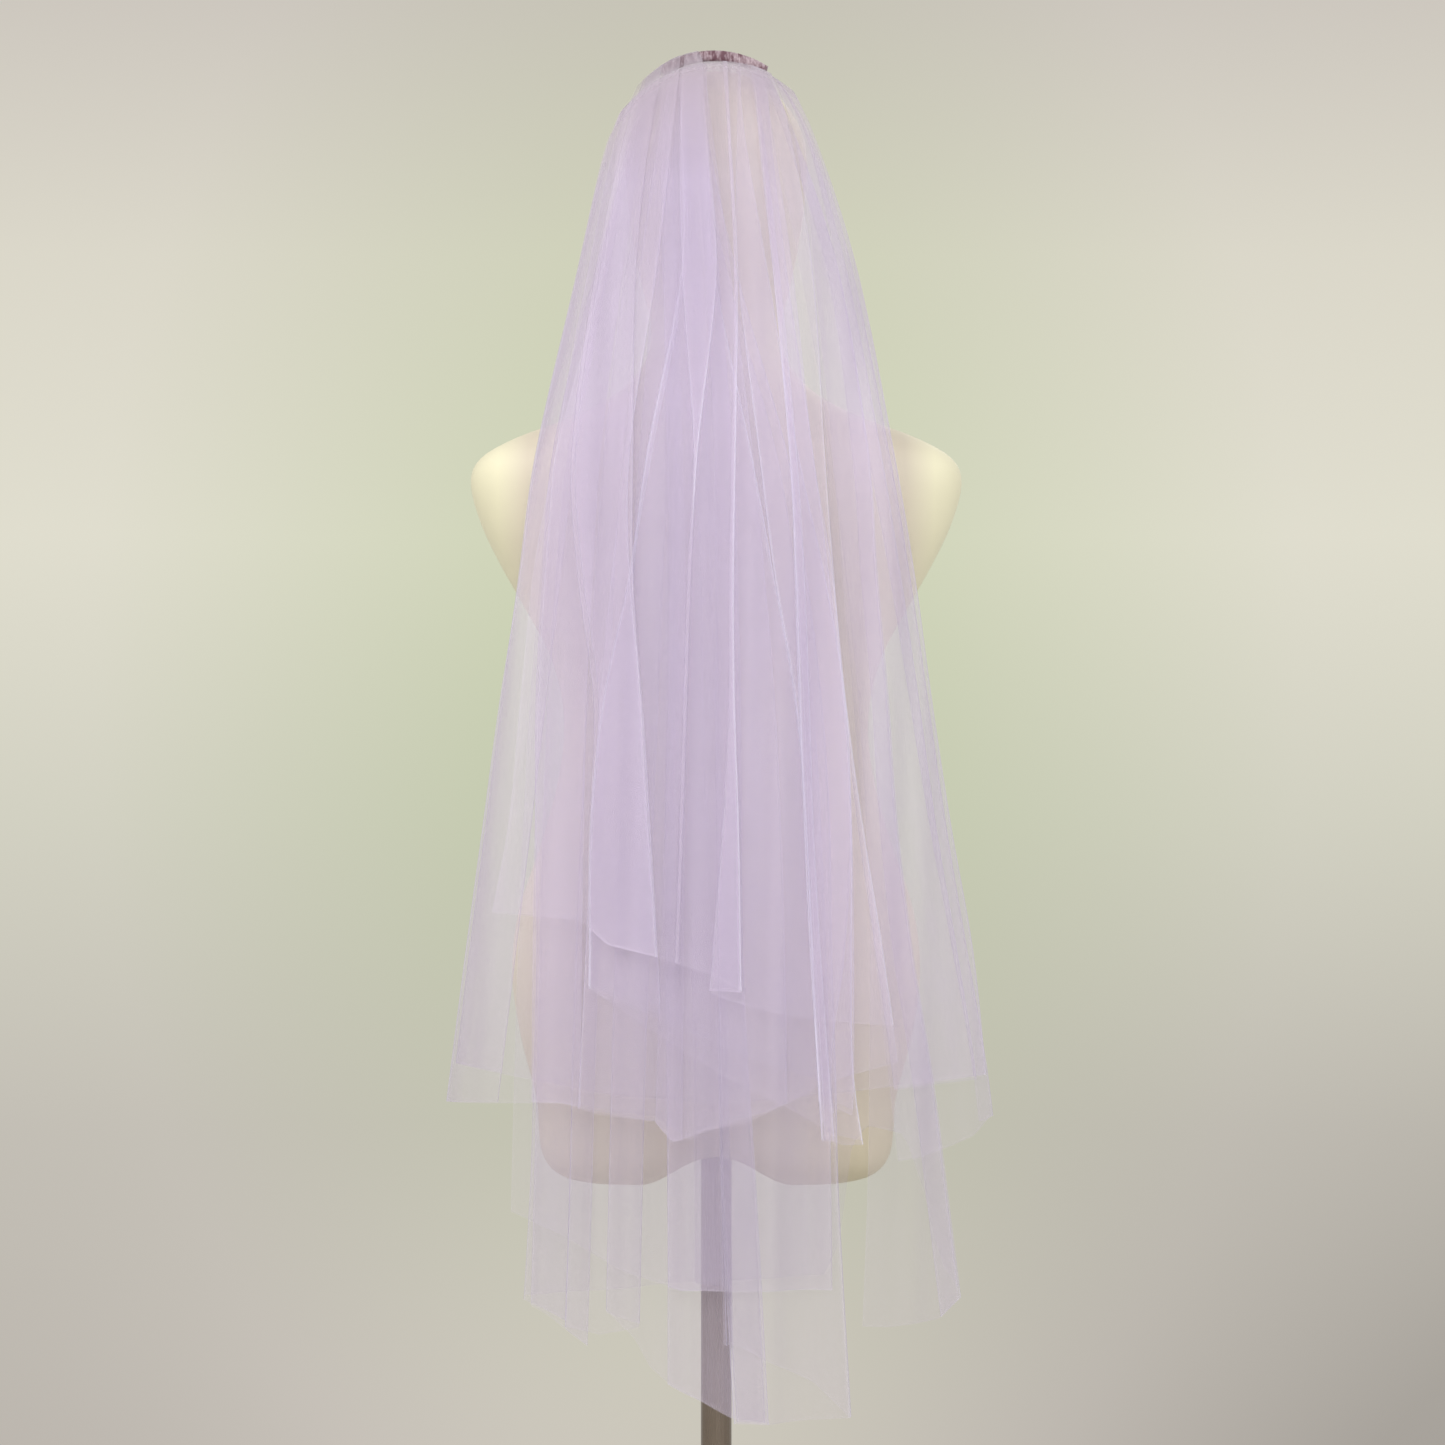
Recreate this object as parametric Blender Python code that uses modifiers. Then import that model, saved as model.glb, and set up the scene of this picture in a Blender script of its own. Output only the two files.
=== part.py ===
"""A two-tier tulle bridal veil on a comb, hung on a limbless dress form with a pole and a round foot.

The frame has +Z up and its origin on the floor, at the middle of the foot. The form faces +Y, and the
veil hangs behind it, on the -Y side. Sizes are in millimetres up to the last step, which writes metres.
"""
import math

import bmesh
import bpy

MM = 0.001

# The fold tables give places as seen by an eye straight behind the form, in the plane of the pole
EYE_DISTANCE = 3200.0
EYE_HEIGHT = 1144.0
EYE_X = 5.0

# Foot, pole and socket
PLATE_RADIUS = 180.0
PLATE_THICKNESS = 7.0
PLATE_EDGE_ROUND = 2.0
POLE_RADIUS = 12.3
POLE_TOP = 866.0
SOCKET_RADIUS = 24.0
SOCKET_NECK_RADIUS = 17.0
SOCKET_HEIGHT = 62.0
SOCKET_FLARE_FOOT = 8.0
SOCKET_FLARE_TOP = 20.0
SOCKET_LIP = 1.5
GAP = 0.3
POLE_HOLE_BOTTOM = 760.0
POLE_HOLE_TOP = POLE_TOP + GAP

# Dress form: the crown of the head is a quarter turn of an ellipsoid
CROWN_CENTRE_Y = 2.0
CROWN_CENTRE_Z = 1589.0
CROWN_HALF_WIDTH = 73.0
CROWN_HALF_DEPTH = 88.0
CROWN_HEIGHT = 75.0
CROWN_ANGLES = (0, 13, 26, 38, 50, 61, 71, 79, 86)
FORM_SIDES = 26

# height, half width, back, front, squareness of the outline, rise of the middle between the two stumps
FORM_SECTIONS = (
    (777.5, 84, -31, -13, 2.6, 25),
    (779, 101, -47, 3, 2.6, 24),
    (784, 121, -68, 24, 2.5, 20),
    (793, 133, -84, 40, 2.4, 14),
    (806, 139, -95, 51, 2.3, 8),
    (824, 141, -101, 58, 2.3, 3),
    (848, 143, -106, 63, 2.3, 0),
    (895, 155, -116, 70, 2.2, 0),
    (945, 162, -119, 76, 2.2, 0),
    (995, 157, -110, 80, 2.2, 0),
    (1050, 139, -90, 80, 2.2, 0),
    (1105, 125, -78, 78, 2.2, 0),
    (1150, 122, -75, 80, 2.2, 0),
    (1195, 132, -78, 92, 2.2, 0),
    (1238, 155, -86, 113, 2.2, 0),
    (1270, 173, -91, 119, 2.3, 0),
    (1302, 188, -93, 108, 2.4, 0),
    (1334, 196, -92, 88, 2.4, 0),
    (1354, 188, -87, 70, 2.4, 0),
    (1370, 160, -80, 54, 2.3, 0),
    (1384, 122, -73, 44, 2.2, 0),
    (1398, 92, -67, 40, 2.1, 0),
    (1415, 69, -62, 40, 2.0, 0),
    (1436, 55, -59, 43, 2.0, 0),
    (1456, 52, -60, 52, 2.0, 0),
    (1472, 54, -64, 78, 2.0, 0),
    (1492, 59, -70, 87, 2.0, 0),
    (1525, 66, -79, 89, 2.0, 0),
    (1560, 71, -84, 90, 2.0, 0),
)
RISE_HALF_WIDTH = 62.0

# Comb and its binding: bent over the crown, from one temple side to the other
COMB_X = -2.0
COMB_HALF_WIDTH = 44.0
BAND_OUTER_RADIUS = 80.0
BAND_INNER_RADIUS = 71.2
BAND_TOP = 1677.0
BAND_BACK = -31.0
BAND_FRONT = -25.0
BAND_ROUND = 1.3
BAND_STEPS = 22
SPINE_OUTER_RADIUS = 75.6
SPINE_INNER_RADIUS = 68.3
SPINE_THICKNESS = 3.0
SPINE_FRONT = BAND_FRONT + GAP + SPINE_THICKNESS
TEETH = 13
TOOTH_TIP_Y = 17.0
TOOTH_STEPS = 4
TOOTH_THICKNESS = 1.6
TOOTH_HALF_WIDTH = 1.7
TOOTH_TAPER = 0.93
TIP_TAPER = 0.7
TIP_CLEARANCE = 0.7

# Side view of the upper tier's outer face at the middle: distance from the pole's plane, height,
# half width of the veil there, and how far its side edges turn in towards the form
LIE = (
    (-31.9, 1669.6, 50, 17),
    (-51.0, 1669.4, 56, 20),
    (-75.0, 1665.0, 64, 25),
    (-100.0, 1653.0, 72, 30),
    (-121.5, 1630.0, 79, 34),
    (-135.0, 1594.0, 86, 36),
    (-142.0, 1550.0, 97, 37),
    (-149.0, 1490.0, 110, 35),
    (-161.0, 1420.0, 127, 30),
    (-174.0, 1352.0, 140, 25),
    (-185.0, 1260.0, 154, 26),
    (-194.0, 1161.0, 166, 28),
    (-202.0, 1060.0, 180, 31),
    (-208.0, 960.0, 194, 34),
    (-213.0, 860.0, 205, 36),
    (-218.0, 740.0, 206, 36),
    (-222.0, 590.0, 205, 36),
    (-223.0, 540.0, 205, 36),
)
SIDE_CURVE = 2.2
X_MIDDLE = 2.0

# Distance between neighbouring layers along the veil: height seen, distance
LAYER_PITCH = (
    (1672, 1.9),
    (1640, 2.05),
    (1618, 2.1),
    (1560, 2.3),
    (1506, 2.55),
    (1362, 3.1),
    (1162, 4.0),
    (962, 4.1),
    (576, 4.3),
)
WALL = 1.0

# Rows along the cloth, by length from the comb. The inner layers are gathered on a little further down
ROOT_STEP = 4.0
ROOTS_END = 132.0
HANG_START = 440.0
CROWN_ROWS = (0, 13, 26, 39, 52, 66, 80, 95, 112, 132, 160, 200, 250, 310, 375, 440)
UPPER_HANG_ROWS = 4
LOWER_HANG_ROWS = 6

# Long shallow flutes shared by all the layers
FLUTE_WIDTH = 96.0
FLUTE_DEPTH = 9.0
FLUTE_OFFSET = 20.0
FLUTES_FULL_AT = 600.0

# Heights, as seen, at which the fold tables give each fold's place
STATIONS = (1674, 1618, 1506, 1362, 1162, 962, 762, 576)

# Upper tier, in the order of the cloth: name, x at each station, height of the hem at that fold
UPPER_FOLDS = (
    ("left_cut_edge", (-48, -78, -106, -142, -158, -184, -220, -250), 992),
    ("centre_pleat_right", (9, 11, 17, 15, 14, 14, 10, 8), 934),
    ("centre_pleat_left", (5, 8, 14, 12, 11, -3, -26, -44), 928),
    ("short_sweep_right", (39, 55, 67, 83, 103, 134, 166, 194), 888),
    ("side_pleat_left", (19, 18, 19, 34, 63, 76, 89, 100), 810),
    ("side_pleat_right", (29, 26, 39, 62, 103, 107, 113, 118), 805),
    ("front_panel_left", (-42, -53, -69, -70, -90, -102, -106, -110), 934),
    ("front_panel_right", (-13, -8, -2, 26, 61, 75, 84, 92), 856),
    ("outline_left", (-49, -82, -110, -143, -173, -200, -226, -250), 836),
    ("outline_right", (42, 79, 114, 142, 174, 206, 222, 236), 822),
    ("right_cut_edge", (40, 69, 83, 103, 123, 135, 150, 164), 852),
)

# Between each fold and the next: layer counted from the outside, steps across, extra drop of the hem
UPPER_PANELS = (
    (0.0, 8, 2),
    (1.0, 1, 0),
    (2.0, 7, 0),
    (3.0, 3, 0),
    (4.0, 2, 0),
    (5.0, 8, 6),
    (6.0, 8, 0),
    (7.0, 11, 30),
    (8.0, 17, 28),
    (9.0, 4, 4),
)

LOWER_FOLDS = (
    ("left_cut_edge", (-43, -61, -95, -130, -149, -158, -164, -167), 748),
    ("short_sweep_right", (29, 43, 55, 67, 79, 87, 91, 93), 684),
    ("back_fold", (15, 21, 23, 26, 26, 23, 22, 23), 638),
    ("long_panel_right", (33, 47, 59, 74, 87, 91, 97, 107), 580),
    ("tapering_pleat_left", (5, 6, 5, 2, 0, 2, 5, 15), 576),
    ("tapering_pleat_right", (9, 13, 15, 18, 19, 21, 32, 42), 575),
    ("outline_left", (-43, -62, -97, -130, -145, -142, -149, -158), 675),
    ("outline_right", (36, 62, 98, 121, 136, 155, 182, 207), 672),
    ("right_cut_edge", (19, 43, 67, 91, 114, 123, 121, 114), 652),
)
LOWER_PANELS = (
    (8.8, 8, 6),
    (9.8, 2, 0),
    (10.8, 3, 0),
    (11.8, 4, 0),
    (12.8, 1, 0),
    (13.8, 8, 10),
    (14.8, 13, 34),
    (15.8, 4, 4),
)


def between(pairs, at):
    """Straight-line value at a place in rows of (place, value), whose places run downwards."""
    if at >= pairs[0][0]:
        return pairs[0][1]
    for (high, first), (low, second) in zip(pairs, pairs[1:]):
        if at >= low:
            return first + (second - first) * (high - at) / (high - low)
    return pairs[-1][1]


def smooth_rows(rows, steps):
    """Catmull-Rom curve through the rows of a table, with the given steps between each two."""
    padded = [rows[0], *rows, rows[-1]]
    curve = []
    for before, first, second, after in zip(padded, padded[1:], padded[2:], padded[3:]):
        for step in range(steps):
            t = step / steps
            curve.append(
                tuple(
                    b + 0.5 * t * (c - a + t * (2 * a - 5 * b + 4 * c - d + t * (3 * (b - c) + d - a)))
                    for a, b, c, d in zip(before, first, second, after)
                )
            )
    curve.append(tuple(float(value) for value in rows[-1]))
    return curve


class VeilLie:
    """The surface on which the veil lies, followed by length from the comb down its middle."""

    def __init__(self, rows):
        self.curve = smooth_rows(rows, 12)
        self.lengths = [0.0]
        for (y0, z0, *_), (y1, z1, *_) in zip(self.curve, self.curve[1:]):
            self.lengths.append(self.lengths[-1] + math.hypot(y1 - y0, z1 - z0))

    def at(self, length):
        """Place, inward direction, half width and turn-in at a length from the comb."""
        index = 1
        while index < len(self.lengths) - 1 and self.lengths[index] < length:
            index += 1
        start, end = self.curve[index - 1], self.curve[index]
        span = self.lengths[index] - self.lengths[index - 1]
        t = (length - self.lengths[index - 1]) / span
        y, z, half_width, turn_in = (a + (b - a) * t for a, b in zip(start, end))
        along_y, along_z = (end[0] - start[0]) / span, (end[1] - start[1]) / span
        return (y, z), (-along_z, along_y), half_width, turn_in

    def length_at_height(self, height):
        """Length from the comb at which the middle of the outer face is seen at a height."""
        for length, (y, z, *_) in zip(self.lengths, self.curve):
            if EYE_HEIGHT + (z - EYE_HEIGHT) * EYE_DISTANCE / (EYE_DISTANCE + y) <= height:
                return length
        return self.lengths[-1]

    def place(self, length, depth, seen_x):
        """Point at a length from the comb and a depth inside the outer face, where seen_x(height) is seen."""
        (mid_y, mid_z), (in_y, in_z), half_width, turn_in = self.at(length)
        y, z = mid_y, mid_z
        for _ in range(3):
            nearness = (EYE_DISTANCE + y) / EYE_DISTANCE
            height = EYE_HEIGHT + (z - EYE_HEIGHT) / nearness
            x = EYE_X + (seen_x(height) - EYE_X) * nearness
            inwards = depth + turn_in * (abs(x - X_MIDDLE) / half_width) ** SIDE_CURVE
            fall = min(1.0, length / FLUTES_FULL_AT)
            flute = 0.5 - 0.5 * math.cos(2 * math.pi * (x + FLUTE_OFFSET) / FLUTE_WIDTH)
            inwards -= FLUTE_DEPTH * fall * flute
            y, z = mid_y + in_y * inwards, mid_z + in_z * inwards
        return x, y, z


def new_object(name, mesh, material, parts):
    """Put a mesh in the scene as a named part with its material."""
    mesh.materials.append(material)
    part = bpy.data.objects.new(name, mesh)
    parts.objects.link(part)
    return part


def mesh_from(bm, name, smooth_angle=None):
    """Turn millimetres into metres and make the mesh."""
    bmesh.ops.scale(bm, vec=(MM, MM, MM), verts=bm.verts)
    mesh = bpy.data.meshes.new(name)
    bm.to_mesh(mesh)
    bm.free()
    if smooth_angle is not None:
        mesh.shade_smooth()
        mesh.set_sharp_from_angle(angle=math.radians(smooth_angle))
    return mesh


def material(name, color, roughness, metallic=0.0):
    """A Principled material in one colour."""
    finish = bpy.data.materials.new(name)
    finish.use_nodes = True
    shader = finish.node_tree.nodes["Principled BSDF"]
    shader.inputs["Base Color"].default_value = (*color, 1.0)
    shader.inputs["Roughness"].default_value = roughness
    shader.inputs["Metallic"].default_value = metallic
    return finish


def ring_loft(bm, rings):
    """Skin a stack of closed rings of points, from the lowest to the highest, and cap both ends."""
    loops = [[bm.verts.new(point) for point in ring] for ring in rings]
    for lower, upper in zip(loops, loops[1:]):
        for i in range(len(lower)):
            j = (i + 1) % len(lower)
            bm.faces.new((lower[i], lower[j], upper[j], upper[i]))
    strip_cap(bm, loops[0])
    strip_cap(bm, loops[-1])
    bmesh.ops.recalc_face_normals(bm, faces=bm.faces)


def strip_cap(bm, loop):
    """Close a ring with a strip of faces between its two long sides."""
    half = len(loop) // 2
    for i in range(half - 1):
        corners = (loop[i], loop[i + 1], loop[-i - 2], loop[-i - 1])
        bm.faces.new(corners)


def oval_ring(z, half_width, back, front, squareness, rise=0.0):
    """Closed ring round the form at one height, whose middle may rise between the two stumps."""
    ring = []
    for i in range(FORM_SIDES):
        angle = 2 * math.pi * (i + 0.5) / FORM_SIDES
        across, forward = math.cos(angle), math.sin(angle)
        x = math.copysign(abs(across) ** (2 / squareness), across) * half_width
        y = math.copysign(abs(forward) ** (2 / squareness), forward)
        middle = 0.5 * (front + back)
        lift = rise * math.cos(0.5 * math.pi * min(1.0, abs(x) / RISE_HALF_WIDTH)) ** 2
        ring.append((x, middle + y * 0.5 * (front - back), z + lift))
    return ring


def crown_ring(angle):
    """Ring of the head's crown at an angle above its widest level."""
    shrink = math.cos(math.radians(angle))
    z = CROWN_CENTRE_Z + CROWN_HEIGHT * math.sin(math.radians(angle))
    back = CROWN_CENTRE_Y - CROWN_HALF_DEPTH * shrink
    front = CROWN_CENTRE_Y + CROWN_HALF_DEPTH * shrink
    return oval_ring(z, CROWN_HALF_WIDTH * shrink, back, front, 2.0)


def crown_height(x, y):
    """Height of the head's crown over a point of the plan."""
    left = 1 - (x / CROWN_HALF_WIDTH) ** 2 - ((y - CROWN_CENTRE_Y) / CROWN_HALF_DEPTH) ** 2
    return CROWN_CENTRE_Z + CROWN_HEIGHT * math.sqrt(max(0.0, left))


def turned_cutter(name, radius, bottom, top, cutters):
    """Hidden cylinder on the pole's axis, used to cut a hole."""
    bm = bmesh.new()
    bmesh.ops.create_cone(
        bm, cap_ends=True, segments=32, radius1=radius, radius2=radius, depth=top - bottom
    )
    bmesh.ops.translate(bm, vec=(0, 0, 0.5 * (bottom + top)), verts=bm.verts)
    cutter = bpy.data.objects.new(name, mesh_from(bm, name))
    cutters.objects.link(cutter)
    cutter.hide_render = True
    cutter.display_type = "WIRE"
    return cutter


def build_dress_form(parts, cutters, finish):
    """Torso, neck and head in one skin, with the pole's hole."""
    rings = [oval_ring(*section) for section in FORM_SECTIONS]
    rings += [crown_ring(angle) for angle in CROWN_ANGLES]
    bm = bmesh.new()
    ring_loft(bm, rings)
    form = new_object("dress_form", mesh_from(bm, "dress_form", 40), finish, parts)
    hole = turned_cutter("pole_hole", POLE_RADIUS + GAP, POLE_HOLE_BOTTOM, POLE_HOLE_TOP, cutters)
    drilled = form.modifiers.new("Pole hole", "BOOLEAN")
    drilled.operation = "DIFFERENCE"
    drilled.solver = "EXACT"
    drilled.object = hole


def build_pole(parts, finish):
    """Straight tube, closed at both ends, from the foot into the form."""
    bottom = PLATE_THICKNESS + GAP
    bm = bmesh.new()
    bmesh.ops.create_cone(
        bm, cap_ends=True, segments=24, radius1=POLE_RADIUS, radius2=POLE_RADIUS, depth=POLE_TOP - bottom
    )
    bmesh.ops.translate(bm, vec=(0, 0, 0.5 * (POLE_TOP + bottom)), verts=bm.verts)
    new_object("pole", mesh_from(bm, "pole", 40), finish, parts)


def build_base_plate(parts, finish):
    """Round foot with a softened upper edge."""
    bm = bmesh.new()
    bmesh.ops.create_cone(
        bm, cap_ends=True, segments=56, radius1=PLATE_RADIUS, radius2=PLATE_RADIUS, depth=PLATE_THICKNESS
    )
    bmesh.ops.translate(bm, vec=(0, 0, 0.5 * PLATE_THICKNESS), verts=bm.verts)
    rim = [e for e in bm.edges if all(v.co.z > 0.5 * PLATE_THICKNESS for v in e.verts)]
    bmesh.ops.bevel(
        bm, geom=rim, offset=PLATE_EDGE_ROUND, segments=2, profile=0.5, affect="EDGES", material=-1
    )
    new_object("base_plate", mesh_from(bm, "base_plate", 40), finish, parts)


def build_base_socket(parts, finish):
    """Collar round the pole: a turned profile with an open bore."""
    bore = POLE_RADIUS + GAP
    bottom = PLATE_THICKNESS + GAP
    top = bottom + SOCKET_HEIGHT
    profile = (
        (SOCKET_NECK_RADIUS - SOCKET_LIP, top),
        (SOCKET_NECK_RADIUS, top - SOCKET_LIP),
        (SOCKET_NECK_RADIUS, bottom + SOCKET_FLARE_TOP),
        (SOCKET_RADIUS, bottom + SOCKET_FLARE_FOOT),
        (SOCKET_RADIUS, bottom),
        (bore, bottom),
        (bore, top),
    )
    bm = bmesh.new()
    points = [bm.verts.new((radius, 0, z)) for radius, z in profile]
    outline = [bm.edges.new(pair) for pair in zip(points, points[1:] + points[:1])]
    bmesh.ops.spin(
        bm, geom=points + outline, axis=(0, 0, 1), cent=(0, 0, 0), angle=2 * math.pi, steps=32,
        use_merge=True, use_duplicate=False,
    )
    bmesh.ops.remove_doubles(bm, verts=bm.verts, dist=0.001)
    bmesh.ops.recalc_face_normals(bm, faces=bm.faces)
    new_object("base_socket", mesh_from(bm, "base_socket", 40), finish, parts)


def arc_point(angle, radius, y):
    """Point of the comb's arc, at an angle from its top."""
    centre_z = BAND_TOP - BAND_OUTER_RADIUS
    return COMB_X + radius * math.sin(angle), y, centre_z + radius * math.cos(angle)


def build_binding(parts, finish):
    """The bound band: a flat bar with rounded corners, bent over the crown."""
    reach = math.asin(COMB_HALF_WIDTH / BAND_OUTER_RADIUS)
    low, high, near, far = BAND_INNER_RADIUS, BAND_OUTER_RADIUS, BAND_BACK, BAND_FRONT
    r = BAND_ROUND
    outline = (
        (low + r, near), (high - r, near), (high, near + r), (high, far - r),
        (high - r, far), (low + r, far), (low, far - r), (low, near + r),
    )
    rings = []
    for step in range(BAND_STEPS + 1):
        angle = reach * (2 * step / BAND_STEPS - 1)
        rings.append([arc_point(angle, radius, y) for radius, y in outline])
    bm = bmesh.new()
    ring_loft(bm, rings)
    new_object("comb_binding", mesh_from(bm, "comb_binding", 50), finish, parts)


def build_comb(parts, finish):
    """Spine bent over the crown, with its teeth drawn out of every second stretch of the front face."""
    reach = math.asin(COMB_HALF_WIDTH / BAND_OUTER_RADIUS)
    stretches = 2 * TEETH - 1
    back, front = BAND_FRONT + GAP, SPINE_FRONT
    outline = (
        (SPINE_INNER_RADIUS, back), (SPINE_OUTER_RADIUS, back),
        (SPINE_OUTER_RADIUS, front), (SPINE_INNER_RADIUS, front),
    )
    bm = bmesh.new()
    rings = []
    for step in range(stretches + 1):
        angle = reach * (2 * step / stretches - 1)
        rings.append([arc_point(angle, radius, y) for radius, y in outline])
    ring_loft(bm, rings)
    bm.faces.ensure_lookup_table()
    fronts = [f for f in bm.faces if f.normal.y > 0.9 and len(f.verts) == 4]
    fronts.sort(key=lambda face: face.calc_center_median().x)
    for face in fronts[::2]:
        for step in range(1, TOOTH_STEPS + 1):
            face = bmesh.ops.extrude_discrete_faces(bm, faces=[face])["faces"][0]
            along = step / TOOTH_STEPS
            y = front + (TOOTH_TIP_Y - front) * along
            middle_x = face.calc_center_median().x
            root_z = arc_point(math.asin((middle_x - COMB_X) / SPINE_INNER_RADIUS), SPINE_INNER_RADIUS, y)[2]
            inner_x = math.copysign(max(0.0, abs(middle_x) - TOOTH_HALF_WIDTH), middle_x)
            rest_z = crown_height(inner_x, y) + TIP_CLEARANCE
            low = max(root_z + (rest_z - root_z) * along, rest_z)
            top = low + TOOTH_THICKNESS * (1.5 - 0.5 * along)
            middle_z = face.calc_center_median().z
            taper = TOOTH_TAPER if step < TOOTH_STEPS else TIP_TAPER
            for vert in face.verts:
                vert.co.z = top if vert.co.z > middle_z else low
                vert.co.y = y
                vert.co.x = middle_x + (vert.co.x - middle_x) * taper
    bmesh.ops.recalc_face_normals(bm, faces=bm.faces)
    new_object("comb", mesh_from(bm, "comb"), finish, parts)


def tier_columns(folds, panels):
    """Columns of the gathered cloth: the two folds beside each, how far across, its layer and hem drop."""
    columns = []
    for left, right, (layer, steps, drop) in zip(folds, folds[1:], panels):
        for step in range(steps + 1):
            columns.append((left, right, step / steps, layer, drop))
    return columns


def row_lengths(layer, end, hang_rows):
    """Lengths from the comb of a column's rows, from its root to its hem."""
    lengths = []
    for length in CROWN_ROWS:
        lengths.append(length + layer * ROOT_STEP * max(0.0, 1 - length / ROOTS_END))
    for row in range(1, hang_rows + 1):
        lengths.append(HANG_START + (end - HANG_START) * row / hang_rows)
    return lengths


def build_tier(name, folds, panels, hang_rows, lie, parts, finish):
    """One tier: an open pleated sheet that turns back at each fold, made a wall by Solidify."""
    columns = tier_columns(folds, panels)
    bm = bmesh.new()
    rows = len(CROWN_ROWS) + hang_rows
    bmesh.ops.create_grid(bm, x_segments=len(columns) - 1, y_segments=rows - 1, size=1.0)
    bm.verts.ensure_lookup_table()
    for number, (left, right, across, layer, drop) in enumerate(columns):
        left_row = list(zip(STATIONS, left[1]))
        right_row = list(zip(STATIONS, right[1]))

        def seen_x(height, a=left_row, b=right_row, f=across):
            return between(a, height) * (1 - f) + between(b, height) * f

        hem = left[2] + (right[2] - left[2]) * across - drop * 4 * across * (1 - across)
        end = lie.length_at_height(hem)
        for row, length in enumerate(row_lengths(layer, end, hang_rows)):
            (y, z), *_ = lie.at(length)
            height = EYE_HEIGHT + (z - EYE_HEIGHT) * EYE_DISTANCE / (EYE_DISTANCE + y)
            depth = layer * between(LAYER_PITCH, height)
            bm.verts[row * len(columns) + number].co = lie.place(length, depth, seen_x)
    tier = new_object(name, mesh_from(bm, name, 60), finish, parts)
    wall = tier.modifiers.new("Wall", "SOLIDIFY")
    wall.thickness = WALL * MM
    wall.offset = 0.0
    wall.use_even_offset = True
    wall.use_quality_normals = True


def build():
    """Make every part of the veil and its form."""
    for old in list(bpy.data.objects):
        bpy.data.objects.remove(old)
    parts = bpy.data.collections.new("bridal_veil")
    cutters = bpy.data.collections.new("cutters")
    bpy.context.scene.collection.children.link(parts)
    bpy.context.scene.collection.children.link(cutters)

    tulle = material("tulle", (0.72, 0.62, 0.80), 0.55)
    mauve = material("binding_thread", (0.16, 0.09, 0.16), 0.6)
    clear = material("comb_plastic", (0.70, 0.66, 0.68), 0.25)
    ivory = material("form_shell", (0.80, 0.74, 0.62), 0.55)
    steel = material("pole_steel", (0.45, 0.40, 0.36), 0.25, 1.0)
    foot = material("foot_steel", (0.42, 0.40, 0.38), 0.35, 1.0)

    build_dress_form(parts, cutters, ivory)
    build_pole(parts, steel)
    build_base_plate(parts, foot)
    build_base_socket(parts, foot)
    build_binding(parts, mauve)
    build_comb(parts, clear)
    lie = VeilLie(LIE)
    build_tier("tier_upper", UPPER_FOLDS, UPPER_PANELS, UPPER_HANG_ROWS, lie, parts, tulle)
    build_tier("tier_lower", LOWER_FOLDS, LOWER_PANELS, LOWER_HANG_ROWS, lie, parts, tulle)


build()
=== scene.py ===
"""Bridal veil in two tiers of lilac tulle on a bound comb, shown on a limbless dress form."""
import math

import bmesh
import bpy
import numpy as np
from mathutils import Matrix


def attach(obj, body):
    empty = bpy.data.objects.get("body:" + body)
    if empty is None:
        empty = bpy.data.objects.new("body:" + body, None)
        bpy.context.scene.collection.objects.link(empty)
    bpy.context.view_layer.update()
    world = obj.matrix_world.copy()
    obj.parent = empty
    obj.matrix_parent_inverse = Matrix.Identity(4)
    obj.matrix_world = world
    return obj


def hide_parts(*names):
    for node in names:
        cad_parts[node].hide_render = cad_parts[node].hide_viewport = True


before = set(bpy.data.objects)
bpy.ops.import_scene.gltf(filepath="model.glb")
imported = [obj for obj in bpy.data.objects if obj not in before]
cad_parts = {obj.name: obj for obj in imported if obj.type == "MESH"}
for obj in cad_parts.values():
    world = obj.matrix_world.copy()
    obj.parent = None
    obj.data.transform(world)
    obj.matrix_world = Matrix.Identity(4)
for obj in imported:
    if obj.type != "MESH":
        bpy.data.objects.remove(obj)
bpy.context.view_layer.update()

MM = 0.001

# Studio: the eye is level with the form's waist, straight behind it, at the distance from which
# the fold tables of the tulle were read.
EYE_DISTANCE = 3200.0
EYE_HEIGHT = 1144.0
EYE_X = 5.0
camera_data = bpy.data.cameras.new("camera")
camera_data.sensor_width = 36.0
camera_data.lens = 99.65
camera = bpy.data.objects.new("camera", camera_data)
camera.location = (EYE_X * MM, -EYE_DISTANCE * MM, EYE_HEIGHT * MM)
camera.rotation_euler = (math.radians(90), 0, 0)
bpy.context.scene.collection.objects.link(camera)
bpy.context.scene.camera = camera
bpy.context.scene.view_settings.view_transform = "Standard"
bpy.context.scene.cycles.transparent_max_bounces = 96
bpy.context.scene.cycles.diffuse_bounces = 2
bpy.context.scene.cycles.max_bounces = 4


def soft_light(name, place, aim, size, power, colour, shadow=True):
    """A large square light, turned to a point."""
    data = bpy.data.lights.new(name, "AREA")
    data.size = size
    data.energy = power
    data.color = colour
    data.use_shadow = shadow
    light = bpy.data.objects.new(name, data)
    light.location = place
    way = light.location - bpy.data.objects["camera"].location.__class__(aim)
    light.rotation_euler = way.to_track_quat("Z", "Y").to_euler()
    bpy.context.scene.collection.objects.link(light)


soft_light("key", (-1.9, -2.5, 3.3), (0, 0, 1.3), 2.0, 66, (1.0, 0.985, 0.94))
soft_light("fill", (1.2, -2.9, 2.3), (0, 0, 1.3), 2.4, 53, (0.98, 0.99, 1.0), shadow=False)
soft_light("back", (0.6, 3.2, 2.8), (0, 0, 1.2), 2.4, 20, (1.0, 0.99, 0.95))


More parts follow.
